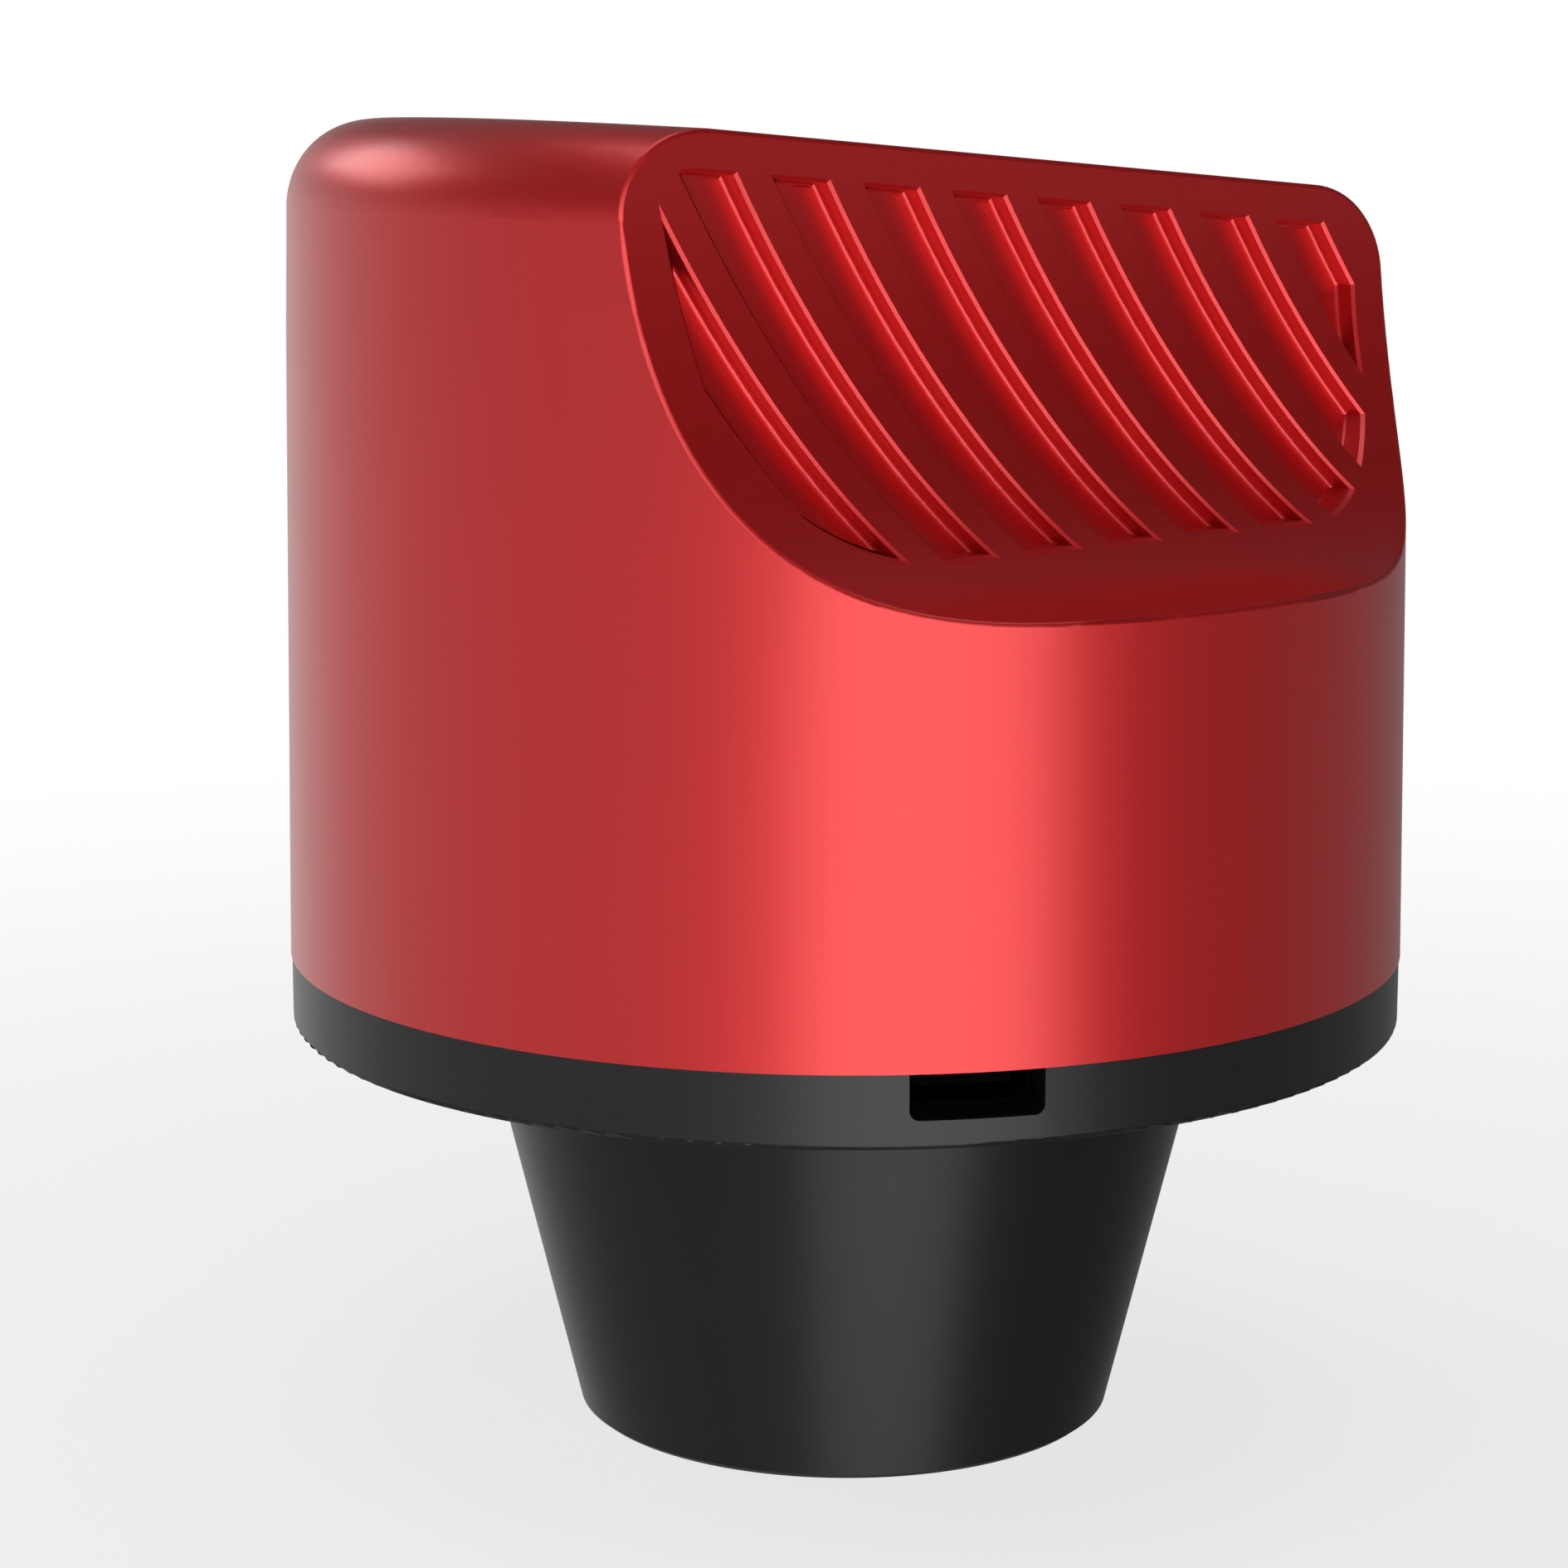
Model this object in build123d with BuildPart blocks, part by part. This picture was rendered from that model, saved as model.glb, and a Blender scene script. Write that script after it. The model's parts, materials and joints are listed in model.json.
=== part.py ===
"""Cooled camera head: drum housing with two louvred scoops, base ring and tapered nosepiece.

Frame: the nosepiece stands on its end face at Z = 0, the optical axis is Z, the ridge between
the two scoops runs along Y, and the high end of the slanted top faces -Y.
"""
import os
from math import cos, radians, sin, tan

from build123d import *

os.makedirs("parts", exist_ok=True)

# ---- driving dimensions, mm and degrees ----
BODY_R = 42.0            # drum radius at its lower edge
DRAFT = 0.86             # drum narrows upwards by this angle
TOP_Z = 95.3             # height of the slanted top on the axis
TOP_SLOPE = 4.8          # top drops towards +Y
TOP_ROUND = 6.3
WALL = 2.5
NOSE_H = 30.95           # underside of the base ring
RING_H = 5.25
RING_R = 41.9
NOSE_END_R = 20.3
NOSE_TOP_R = 27.7
FILTER_R = 14.25         # M28.5 x 0.6 filter thread
FILTER_DEPTH = 7.0
PORT_ANGLE = -28.2       # polar angle of the USB-C port
SHUTTER_ANGLE = 150.0    # polar angle of the shutter pivot
SHUTTER_R = 29.0         # pivot's distance from the axis
SHUTTER_TRAVEL = 45.0    # parked position to closed position
FAN_SIZE = 40.0
FAN_H = 10.0

# ---- scoops: a quarter ellipse in the XZ plane, then a flat floor ----
SCOOP_X = 39.0
SCOOP_Z = 96.0
SCOOP_A = 19.3
SCOOP_B = 30.0
SCOOP_ROUND = 0.35       # rounding of the scoop's rim

# ---- louvres, laid out in the side view (Y, Z) ----
LOUVRE_COUNT = 9
LOUVRE_PITCH = 7.65      # along Y
LOUVRE_W = 4.4           # along Y
LOUVRE_LEAN = 28.8       # from the vertical
LOUVRE_MID_Z = 80.0
LOUVRE_MID_Y = 2.35      # middle slot's centre at LOUVRE_MID_Z
LOUVRE_DEPTH = 1.6
LOUVRE_INSET = 2.9       # below the slanted top
LOUVRE_LOW_Z = 69.4
LOUVRE_LOW_Y = 29.3
LOUVRE_HIGH_Y = 33.0
LOUVRE_LOW_ROUND = 13.4
LOUVRE_HIGH_ROUND = 2.5
LOUVRE_LIP = 0.25        # the pocket's mouth is wider than the pocket by this, with a chamfer between
LIP_CHAMFER = 0.22
POCKET_ROUND = 0.35      # between a pocket's walls and its floor
GAP_Y = 1.1              # width of the air gap through each pocket's floor, along its near wall

# ---- heights of the stack, from the nosepiece up ----
RING_TOP = NOSE_H + RING_H
FLOOR_TOP = NOSE_H + 1.65
LIP_TOP = RING_TOP + 2.6
RIM_TOP = RING_TOP + 6.3
BOARD_Z = RING_TOP - 0.05
BOARD_T = 1.6
BLADE_Z = FLOOR_TOP + 0.5
BLADE_T = 0.6
CHAMBER_Z = FLOOR_TOP + 1.7
CHAMBER_FLOOR = CHAMBER_Z + 4.0
SENSOR_Z = CHAMBER_FLOOR + 1.7
SENSOR_BOARD_Z = SENSOR_Z + 2.0
COLD_PLATE_Z = SENSOR_BOARD_Z + 2.4
TEC_Z = COLD_PLATE_Z + 2.1
SINK_Z = TEC_Z + 3.4
SINK_BASE_T = 3.5
FIN_TOP = SINK_Z + 11.1
FAN_Z = FIN_TOP + 0.5

# ---- radii and fits ----
FIT = 0.05
RIM_R = 37.6
LIP_R = RIM_R - 0.15
LIP_IN_R = 36.0
SPIGOT_R = 22.0
CHAMBER_R = 23.5
CHAMBER_IN_R = 21.0
FLANGE_R = 29.5
SINK_R = 34.0
BOARD_R = 35.6
BOARD_IN_R = 28.5
BOARD_MID_R = 32.0
PAST_BODY = BODY_R + 6   # a radius outside everything


def polar(radius, angle):
    """Point in the XY plane at a polar angle in degrees."""
    return radius * cos(radians(angle)), radius * sin(radians(angle))


def radial_plane(radius, angle, height):
    """Plane facing outwards at a polar angle, its X along the circle and its Y upwards."""
    x, y = polar(radius, angle)
    tangent = (-sin(radians(angle)), cos(radians(angle)), 0)
    outwards = (cos(radians(angle)), sin(radians(angle)), 0)
    return Plane(origin=(x, y, height), x_dir=tangent, z_dir=outwards)


def save(builder, name):
    """Label a finished piece and write it."""
    builder.part.label = name
    export_step(builder.part, f"parts/{name}.step")


def ring(inner, outer, bottom, top):
    """Plain ring about the axis."""
    with BuildPart() as made:
        with BuildSketch(Plane.XY.offset(bottom)):
            Circle(outer)
            Circle(inner, mode=Mode.SUBTRACT)
        extrude(amount=top - bottom)
    return made


def o_ring(radius, section, height):
    """Torus about the axis, its centre line at the given height."""
    with BuildPart() as made:
        with Locations((0, 0, height)):
            Torus(radius, section)
    return made


def posts(places, radius, bore, bottom, top):
    """Round spacers with through bores."""
    with BuildPart() as made:
        with BuildSketch(Plane.XY.offset(bottom)):
            with Locations(*places):
                Circle(radius)
                Circle(bore, mode=Mode.SUBTRACT)
        extrude(amount=top - bottom)
    return made


def cap_screws(places, seat, shank_r, shank_l, head_r, head_h, up=1):
    """Socket cap screws whose heads stand on the seat; up = -1 hangs them below it."""
    with BuildPart() as made:
        with BuildSketch(Plane.XY.offset(seat)):
            with Locations(*places):
                Circle(head_r)
        extrude(amount=up * head_h)
        with BuildSketch(Plane.XY.offset(seat)):
            with Locations(*places):
                Circle(shank_r)
        extrude(amount=-up * shank_l)
        with BuildSketch(Plane.XY.offset(seat + up * head_h)):
            with Locations(*places):
                RegularPolygon(head_r * 0.5, 6)
        extrude(amount=-up * head_h * 0.55, mode=Mode.SUBTRACT)
    return made


def scoop_face(grow):
    """Section of both scoops in the XZ plane, grown into the body by a distance."""
    side = SCOOP_X - SCOOP_A - grow
    floor = SCOOP_Z - SCOOP_B - grow
    out = PAST_BODY
    high = TOP_Z + 12
    with BuildSketch(Plane.XZ) as made:
        with BuildLine():
            EllipticalCenterArc((SCOOP_X, SCOOP_Z), SCOOP_A + grow, SCOOP_B + grow, 180, arc_size=90)
            Polyline((SCOOP_X, floor), (out, floor), (out, high), (side, high), (side, SCOOP_Z))
        make_face()
        mirror(about=Plane.YZ)
    return made


def floor_edges(builder):
    """Edges of the innermost face of each solid."""
    floors = [solid.faces().sort_by(lambda face: abs(face.center().X))[0] for solid in builder.solids()]
    return [edge for floor in floors for edge in floor.edges()]


# =====================================================================================
# Housing: one drum with a slanted top, two scoops and nine louvres in each of them
# =====================================================================================
top_normal = (0, sin(radians(TOP_SLOPE)), cos(radians(TOP_SLOPE)))
top_plane = Plane(origin=(0, 0, TOP_Z), x_dir=(1, 0, 0), z_dir=top_normal)
drum_h = TOP_Z + 8 - RING_TOP

with BuildPart() as cavity:
    with BuildSketch(Plane.XY.offset(RING_TOP)):
        Circle(BODY_R - WALL)
    extrude(amount=drum_h, taper=DRAFT)
    split(bisect_by=top_plane.offset(-WALL), keep=Keep.BOTTOM)
    fillet(cavity.faces().sort_by(Axis.Z)[-1].edges(), TOP_ROUND - WALL)
    extrude(scoop_face(WALL).sketch, amount=PAST_BODY, both=True, mode=Mode.SUBTRACT)

# the field that holds the louvres, in the side view
field_top = TOP_Z - LOUVRE_INSET
top_fall = tan(radians(TOP_SLOPE))
with BuildSketch(Plane.YZ) as field:
    with BuildLine():
        Polyline(
            (-LOUVRE_LOW_Y, LOUVRE_LOW_Z),
            (LOUVRE_LOW_Y, LOUVRE_LOW_Z),
            (LOUVRE_HIGH_Y, field_top - top_fall * LOUVRE_HIGH_Y),
            (-LOUVRE_HIGH_Y, field_top + top_fall * LOUVRE_HIGH_Y),
            close=True,
        )
    make_face()
    fillet(field.vertices().sort_by(Axis.Y)[:2], LOUVRE_LOW_ROUND)
    fillet(field.vertices().sort_by(Axis.Y)[-2:], LOUVRE_HIGH_ROUND)

lean_run = tan(radians(LOUVRE_LEAN))
band_h = TOP_Z - LOUVRE_LOW_Z
with BuildSketch(Plane.YZ) as louvres:
    for i in range(LOUVRE_COUNT):
        middle = LOUVRE_MID_Y + (i - LOUVRE_COUNT // 2) * LOUVRE_PITCH
        low = middle + lean_run * band_h
        high = middle - lean_run * band_h
        with BuildLine():
            Polyline(
                (low - LOUVRE_W / 2, LOUVRE_MID_Z - band_h),
                (low + LOUVRE_W / 2, LOUVRE_MID_Z - band_h),
                (high + LOUVRE_W / 2, LOUVRE_MID_Z + band_h),
                (high - LOUVRE_W / 2, LOUVRE_MID_Z + band_h),
                close=True,
            )
        make_face()
    add(field.sketch_local, mode=Mode.INTERSECT)

with BuildSketch(Plane.YZ) as mouths:
    add(louvres.sketch_local)
    offset(amount=LOUVRE_LIP, kind=Kind.INTERSECTION)

with BuildSketch(Plane.YZ) as gaps:
    add(louvres.sketch_local)
    with Locations((GAP_Y, 0)):
        add(louvres.sketch_local, mode=Mode.SUBTRACT)

with BuildPart() as pockets:
    extrude(louvres.sketch, amount=PAST_BODY, both=True)
    extrude(scoop_face(LOUVRE_DEPTH).sketch, amount=PAST_BODY, both=True, mode=Mode.INTERSECT)
    fillet(floor_edges(pockets), POCKET_ROUND)

with BuildPart() as lips:
    extrude(mouths.sketch, amount=PAST_BODY, both=True)
    extrude(scoop_face(LOUVRE_LIP).sketch, amount=PAST_BODY, both=True, mode=Mode.INTERSECT)
    chamfer(floor_edges(lips), LIP_CHAMFER)

rim_screws = [polar(39.6, 60 * k) for k in range(6)]
scoop_floor = SCOOP_Z - SCOOP_B
gap_start = 12.0

with BuildPart() as housing:
    with BuildSketch(Plane.XY.offset(RING_TOP)):
        Circle(BODY_R)
    extrude(amount=drum_h, taper=DRAFT)
    split(bisect_by=top_plane, keep=Keep.BOTTOM)
    fillet(housing.faces().sort_by(Axis.Z)[-1].edges(), TOP_ROUND)
    extrude(scoop_face(0).sketch, amount=PAST_BODY, both=True, mode=Mode.SUBTRACT)
    rims = housing.edges(Select.LAST)
    floor_lines = rims.filter_by(GeomType.LINE).filter_by_position(Axis.Z, scoop_floor, scoop_floor)
    fillet([edge for edge in rims if edge not in floor_lines], SCOOP_ROUND)
    add(cavity.part, mode=Mode.SUBTRACT)
    with BuildSketch(Plane.XY.offset(RING_TOP)):
        Circle(BODY_R - WALL)
        Circle(RIM_R, mode=Mode.SUBTRACT)
    extrude(amount=RIM_TOP - RING_TOP)
    with BuildSketch(Plane.XY.offset(RING_TOP)):
        with Locations(*rim_screws):
            Circle(1.0)
    extrude(amount=5.0, mode=Mode.SUBTRACT)
    add(lips.part, mode=Mode.SUBTRACT)
    add(pockets.part, mode=Mode.SUBTRACT)
    for side in (-1, 1):
        start = Plane.YZ.offset(side * gap_start)
        extrude(start * gaps.sketch_local, amount=side * BODY_R, dir=(1, 0, 0), mode=Mode.SUBTRACT)
save(housing, "housing")

# =====================================================================================
# Base ring, nosepiece and the screws and seals between them and the housing
# =====================================================================================
port_z = RING_TOP - 1.63
port_notch_w = 9.3
port_notch_z = RING_TOP - 3.2
ear_angles = (115, 235, 355)
chamber_ears = [polar(26.2, a) for a in ear_angles]
board_places = [polar(33.4, a) for a in (20, 100, 200, 290)]
pivot = polar(SHUTTER_R, SHUTTER_ANGLE)
shutter_legs = [
    (pivot[0] + 8.2 * cos(radians(255)), pivot[1] + 8.2 * sin(radians(255))),
    (pivot[0], pivot[1] + 8.2),
]

with BuildPart() as base_ring:
    with BuildSketch(Plane.XZ):
        with BuildLine():
            Polyline(
                (SPIGOT_R + FIT, NOSE_H),
                (RING_R, NOSE_H),
                (RING_R, RING_TOP),
                (LIP_R, RING_TOP),
                (LIP_R, RING_TOP + 0.8),
                (LIP_R - 0.65, RING_TOP + 0.8),
                (LIP_R - 0.65, RING_TOP + 1.7),
                (LIP_R, RING_TOP + 1.7),
                (LIP_R, LIP_TOP),
                (LIP_IN_R, LIP_TOP),
                (LIP_IN_R, FLOOR_TOP),
                (SPIGOT_R + FIT, FLOOR_TOP),
                close=True,
            )
        make_face()
    revolve(axis=Axis.Z)
    fillet(base_ring.edges().filter_by(GeomType.CIRCLE).group_by(Axis.Z)[0].sort_by(SortBy.RADIUS)[-1], 0.45)
    with BuildSketch(radial_plane(LIP_IN_R - 1, PORT_ANGLE, port_notch_z)):
        Rectangle(port_notch_w, RING_TOP - port_notch_z, align=(Align.CENTER, Align.MIN))
    extrude(amount=RING_R - LIP_IN_R + 3, mode=Mode.SUBTRACT)
    notch_edges = base_ring.edges(Select.LAST).filter_by(lambda e: abs(e.center().Z - port_notch_z) < 0.01)
    fillet(notch_edges.filter_by(GeomType.LINE), 0.7)
    with BuildSketch(Plane.XY.offset(NOSE_H)):
        with Locations(*rim_screws):
            Circle(1.1)
    extrude(amount=RING_H, mode=Mode.SUBTRACT)
    with Locations(*[(x, y, NOSE_H) for x, y in rim_screws]):
        Cone(1.9, 1.1, 0.9, align=(Align.CENTER, Align.CENTER, Align.MIN), mode=Mode.SUBTRACT)
    with BuildSketch(Plane.XY.offset(FLOOR_TOP)):
        with Locations(*shutter_legs):
            Circle(0.85)
        with Locations(*chamber_ears, *board_places):
            Circle(0.95)
    extrude(amount=-1.3, mode=Mode.SUBTRACT)
save(base_ring, "base_ring")

with BuildPart() as housing_screws:
    with Locations(*[(x, y, NOSE_H) for x, y in rim_screws]):
        Cone(1.8, 0.95, 0.85, align=(Align.CENTER, Align.CENTER, Align.MIN))
        Cylinder(0.95, 9.6, align=(Align.CENTER, Align.CENTER, Align.MIN))
    with BuildSketch(Plane.XY.offset(NOSE_H)):
        with Locations(*rim_screws):
            RegularPolygon(0.75, 6)
    extrude(amount=0.7, mode=Mode.SUBTRACT)
save(housing_screws, "housing_screws")
save(o_ring(LIP_R - 0.23, 0.36, RING_TOP + 1.25), "body_o_ring")

gasket_t = 0.5
nose_shoulder = NOSE_H - gasket_t
with BuildPart() as nosepiece:
    with BuildSketch(Plane.XZ):
        with BuildLine():
            Polyline(
                (FILTER_R, 0),
                (NOSE_END_R, 0),
                (NOSE_TOP_R, nose_shoulder),
                (SPIGOT_R, nose_shoulder),
                (SPIGOT_R, FLOOR_TOP),
                (18.6, FLOOR_TOP),
                (18.6, 21.0),
                (15.0, FILTER_DEPTH + 2.5),
                (15.0, FILTER_DEPTH + 1.5),
                (13.5, FILTER_DEPTH + 1.5),
                (13.5, FILTER_DEPTH),
                (FILTER_R, FILTER_DEPTH),
                close=True,
            )
        make_face()
    revolve(axis=Axis.Z)
    chamfer(nosepiece.edges().filter_by(GeomType.CIRCLE).group_by(Axis.Z)[0], 0.4)
save(nosepiece, "nosepiece")
save(ring(SPIGOT_R + 0.4, NOSE_TOP_R - 0.5, nose_shoulder, NOSE_H), "nose_gasket")

# =====================================================================================
# Main board under the chamber's flange, with the USB-C receptacle hung from it
# =====================================================================================
shell_w = 8.94
shell_h = 3.1
shell_l = 7.9
shell_r = 30.4
with BuildPart() as usb_shell:
    with BuildSketch(radial_plane(shell_r, PORT_ANGLE, port_z)):
        RectangleRounded(shell_w, shell_h, 1.3)
    extrude(amount=shell_l)
    with BuildSketch(radial_plane(shell_r + 0.6, PORT_ANGLE, port_z)):
        RectangleRounded(shell_w - 0.6, shell_h - 0.6, 1.05)
    extrude(amount=shell_l, mode=Mode.SUBTRACT)
save(usb_shell, "usb_c_shell")

with BuildPart() as usb_tongue:
    with BuildSketch(radial_plane(shell_r + 0.6, PORT_ANGLE, port_z)):
        Rectangle(6.7, 0.7)
    extrude(amount=shell_l - 1.6)
save(usb_tongue, "usb_c_tongue")

board_top = BOARD_Z + BOARD_T
with BuildPart() as main_board:
    with BuildSketch(Plane.XY.offset(BOARD_Z)):
        Circle(BOARD_R)
        Circle(BOARD_IN_R, mode=Mode.SUBTRACT)
        with Locations(*board_places):
            Circle(1.1, mode=Mode.SUBTRACT)
        with Locations(Location(polar(32, SHUTTER_ANGLE), SHUTTER_ANGLE)):
            Rectangle(20, 13, mode=Mode.SUBTRACT)
    extrude(amount=BOARD_T)
save(main_board, "main_board")

chip_side = 5.2
chip_h = 1.1
chip_angles = (60, 80, 120, 232, 252, 270, 310, 340)
with BuildPart() as board_chips:
    with BuildSketch(Plane.XY.offset(board_top)):
        for angle in chip_angles:
            with Locations(Location(polar(BOARD_MID_R, angle), angle)):
                Rectangle(chip_side, chip_side)
    extrude(amount=chip_h)
save(board_chips, "board_chips")

ribbon_angle = 40
lead_angle = 180
with BuildPart() as board_connectors:
    with BuildSketch(Plane.XY.offset(board_top)):
        with Locations(Location(polar(BOARD_MID_R, ribbon_angle), ribbon_angle)):
            Rectangle(3.4, 10.0)
    extrude(amount=1.8)
    with BuildSketch(Plane.XY.offset(board_top)):
        with Locations(Location(polar(BOARD_MID_R, lead_angle), lead_angle)):
            Rectangle(4.4, 5.6)
    extrude(amount=4.0)
save(board_connectors, "board_connectors")
save(posts(board_places, 1.95, 1.0, FLOOR_TOP, BOARD_Z), "board_standoffs")
save(cap_screws(board_places, board_top, 0.9, board_top - FLOOR_TOP + 1.0, 1.75, 1.4), "board_screws")

# =====================================================================================
# Sensor chamber: cup, window, seals, desiccant plug
# =====================================================================================
retainer_t = 1.2
window_t = 1.8
window_gasket_t = 0.3
window_z = CHAMBER_Z + retainer_t
seat_z = window_z + window_t + window_gasket_t
flange_z = SINK_Z - 2.5
window_r = 15.0
aperture_r = 10.5
plug_angle = 298
plug_z = CHAMBER_FLOOR + 2.6
ribbon_z = SENSOR_BOARD_Z + 1.2
sensor_posts = [polar(15.4, a) for a in (90, 210, 330)]
flange_screws = [polar(26.6, 30 + 60 * k) for k in range(6)]

with BuildPart() as chamber_body:
    with BuildSketch(Plane.XZ):
        with BuildLine():
            Polyline(
                (window_r + 0.5, CHAMBER_Z),
                (CHAMBER_R, CHAMBER_Z),
                (CHAMBER_R, flange_z),
                (FLANGE_R, flange_z),
                (FLANGE_R, SINK_Z),
                (CHAMBER_R - 0.6, SINK_Z),
                (CHAMBER_R - 0.6, SINK_Z - 1.0),
                (CHAMBER_R - 1.7, SINK_Z - 1.0),
                (CHAMBER_R - 1.7, SINK_Z),
                (CHAMBER_IN_R, SINK_Z),
                (CHAMBER_IN_R, CHAMBER_FLOOR),
                (aperture_r, CHAMBER_FLOOR),
                (aperture_r, seat_z),
                (window_r + 0.1, seat_z),
                (window_r + 0.1, window_z),
                (window_r + 0.5, window_z),
                close=True,
            )
        make_face()
    revolve(axis=Axis.Z)
    for angle in ear_angles:
        with BuildSketch(Plane.XY.offset(CHAMBER_Z)):
            with Locations(Location(polar(24.6, angle), angle)):
                SlotCenterToCenter(3.2, 4.4)
            Circle(CHAMBER_R - 1, mode=Mode.SUBTRACT)
        extrude(amount=1.7)
    with BuildSketch(Plane.XY.offset(CHAMBER_FLOOR)):
        with Locations(*sensor_posts):
            Circle(1.8)
    extrude(amount=SENSOR_BOARD_Z - CHAMBER_FLOOR)
    with BuildSketch(Plane.XY.offset(SENSOR_BOARD_Z)):
        with Locations(*sensor_posts):
            Circle(0.8)
    extrude(amount=-3.0, mode=Mode.SUBTRACT)
    with BuildSketch(Plane.XY.offset(CHAMBER_Z)):
        with Locations(*chamber_ears):
            Circle(1.1)
    extrude(amount=1.7, mode=Mode.SUBTRACT)
    with BuildSketch(Plane.XY.offset(flange_z)):
        with Locations(*flange_screws):
            Circle(1.35)
    extrude(amount=2.5, mode=Mode.SUBTRACT)
    with BuildSketch(radial_plane(CHAMBER_IN_R - 2, ribbon_angle, ribbon_z)):
        Rectangle(9.0, 1.2)
    extrude(amount=6, mode=Mode.SUBTRACT)
    with BuildSketch(radial_plane(CHAMBER_IN_R - 2, plug_angle, plug_z)):
        Circle(2.55)
    extrude(amount=6, mode=Mode.SUBTRACT)
save(chamber_body, "chamber_body")

with BuildPart() as window_retainer:
    with BuildSketch(Plane.XY.offset(CHAMBER_Z)):
        Circle(window_r + 0.45)
        Circle(12.6, mode=Mode.SUBTRACT)
    extrude(amount=retainer_t)
    with BuildSketch(Plane.XY.offset(CHAMBER_Z)):
        with PolarLocations(14.2, 2):
            Rectangle(1.2, 1.6)
    extrude(amount=0.8, mode=Mode.SUBTRACT)
save(window_retainer, "window_retainer")

with BuildPart() as chamber_window:
    with BuildSketch(Plane.XY.offset(window_z)):
        Circle(window_r)
    extrude(amount=window_t)
save(chamber_window, "chamber_window")

save(ring(aperture_r + 0.6, window_r, window_z + window_t, seat_z), "window_gasket")
save(o_ring(CHAMBER_R - 1.15, 0.47, SINK_Z - 0.5), "chamber_o_ring")
save(posts(chamber_ears, 2.2, 1.0, FLOOR_TOP, CHAMBER_Z), "chamber_standoffs")
save(cap_screws(chamber_ears, CHAMBER_Z + 1.7, 0.9, 4.3, 1.9, 1.3), "chamber_screws")
save(cap_screws(flange_screws, flange_z, 1.2, 5.0, 2.2, 2.0, up=-1), "heat_sink_screws")

with BuildPart() as desiccant_plug:
    with BuildSketch(radial_plane(CHAMBER_R + 0.3, plug_angle, plug_z)):
        Circle(3.1)
    extrude(amount=1.6)
    with BuildSketch(radial_plane(CHAMBER_R + 0.3, plug_angle, plug_z)):
        Circle(2.5)
    extrude(amount=-4.8)
    with BuildSketch(radial_plane(CHAMBER_R - 4.5, plug_angle, plug_z)):
        Circle(2.0)
    extrude(amount=4.0, mode=Mode.SUBTRACT)
    with BuildSketch(radial_plane(CHAMBER_R + 1.9, plug_angle, plug_z)):
        Rectangle(4.4, 0.8)
    extrude(amount=-0.7, mode=Mode.SUBTRACT)
save(desiccant_plug, "desiccant_plug")

with BuildPart() as desiccant:
    with BuildSketch(radial_plane(CHAMBER_R - 4.5, plug_angle, plug_z)):
        Circle(1.95)
    extrude(amount=3.6)
save(desiccant, "desiccant")

# =====================================================================================
# Sensor, its board and ribbon, and the cooler that draws its heat into the heat sink
# =====================================================================================
package = 18.0
with BuildPart() as image_sensor:
    with BuildSketch(Plane.XY.offset(SENSOR_Z)):
        Rectangle(package, package)
    extrude(amount=SENSOR_BOARD_Z - SENSOR_Z)
    with BuildSketch(Plane.XY.offset(SENSOR_Z)):
        Rectangle(13.4, 13.4)
    extrude(amount=1.5, mode=Mode.SUBTRACT)
save(image_sensor, "image_sensor")

with BuildPart() as sensor_die:
    with BuildSketch(Plane.XY.offset(SENSOR_Z + 0.9)):
        Rectangle(11.3, 11.3)
    extrude(amount=0.6)
save(sensor_die, "sensor_die")

with BuildPart() as sensor_glass:
    with BuildSketch(Plane.XY.offset(SENSOR_Z - 0.6)):
        Rectangle(package - 2, package - 2)
    extrude(amount=0.6)
save(sensor_glass, "sensor_glass")

sensor_board_t = 1.0
sensor_board_top = SENSOR_BOARD_Z + sensor_board_t
with BuildPart() as sensor_board:
    with BuildSketch(Plane.XY.offset(SENSOR_BOARD_Z)):
        Circle(17.5)
        Rectangle(12.6, 12.6, mode=Mode.SUBTRACT)
        with Locations(*sensor_posts):
            Circle(0.9, mode=Mode.SUBTRACT)
    extrude(amount=sensor_board_t)
save(sensor_board, "sensor_board")
save(cap_screws(sensor_posts, sensor_board_top, 0.75, 3.4, 1.5, 1.0), "sensor_board_screws")

pad_t = 0.3
with BuildPart() as thermal_pad:
    with BuildSketch(Plane.XY.offset(SENSOR_BOARD_Z)):
        Rectangle(11.8, 11.8)
    extrude(amount=pad_t)
save(thermal_pad, "thermal_pad")

with BuildPart() as cold_finger:
    with BuildSketch(Plane.XY.offset(SENSOR_BOARD_Z + pad_t)):
        Rectangle(12.0, 12.0)
    extrude(amount=COLD_PLATE_Z - SENSOR_BOARD_Z - pad_t)
    with BuildSketch(Plane.XY.offset(COLD_PLATE_Z)):
        RectangleRounded(22, 22, 1)
    extrude(amount=TEC_Z - COLD_PLATE_Z)
save(cold_finger, "cold_finger")

with BuildPart() as thermistor:
    with BuildSketch(Plane.XY.offset(COLD_PLATE_Z)):
        with Locations((8.6, 0)):
            Rectangle(0.9, 1.7)
    extrude(amount=-0.6)
save(thermistor, "thermistor")
save(ring(17.2, 20.4, COLD_PLATE_Z - 0.6, TEC_Z - 0.2), "insulation_ring")

plate_t = 0.7
tec_size = 25.0
with BuildPart() as tec_cold_plate:
    with BuildSketch(Plane.XY.offset(TEC_Z)):
        Rectangle(tec_size, tec_size)
    extrude(amount=plate_t)
save(tec_cold_plate, "tec_cold_plate")

with BuildPart() as tec_pellets:
    with BuildSketch(Plane.XY.offset(TEC_Z + plate_t)):
        with GridLocations(2.9, 2.9, 8, 8):
            Rectangle(1.5, 1.5)
    extrude(amount=SINK_Z - TEC_Z - 2 * plate_t)
save(tec_pellets, "tec_pellets")

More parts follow.
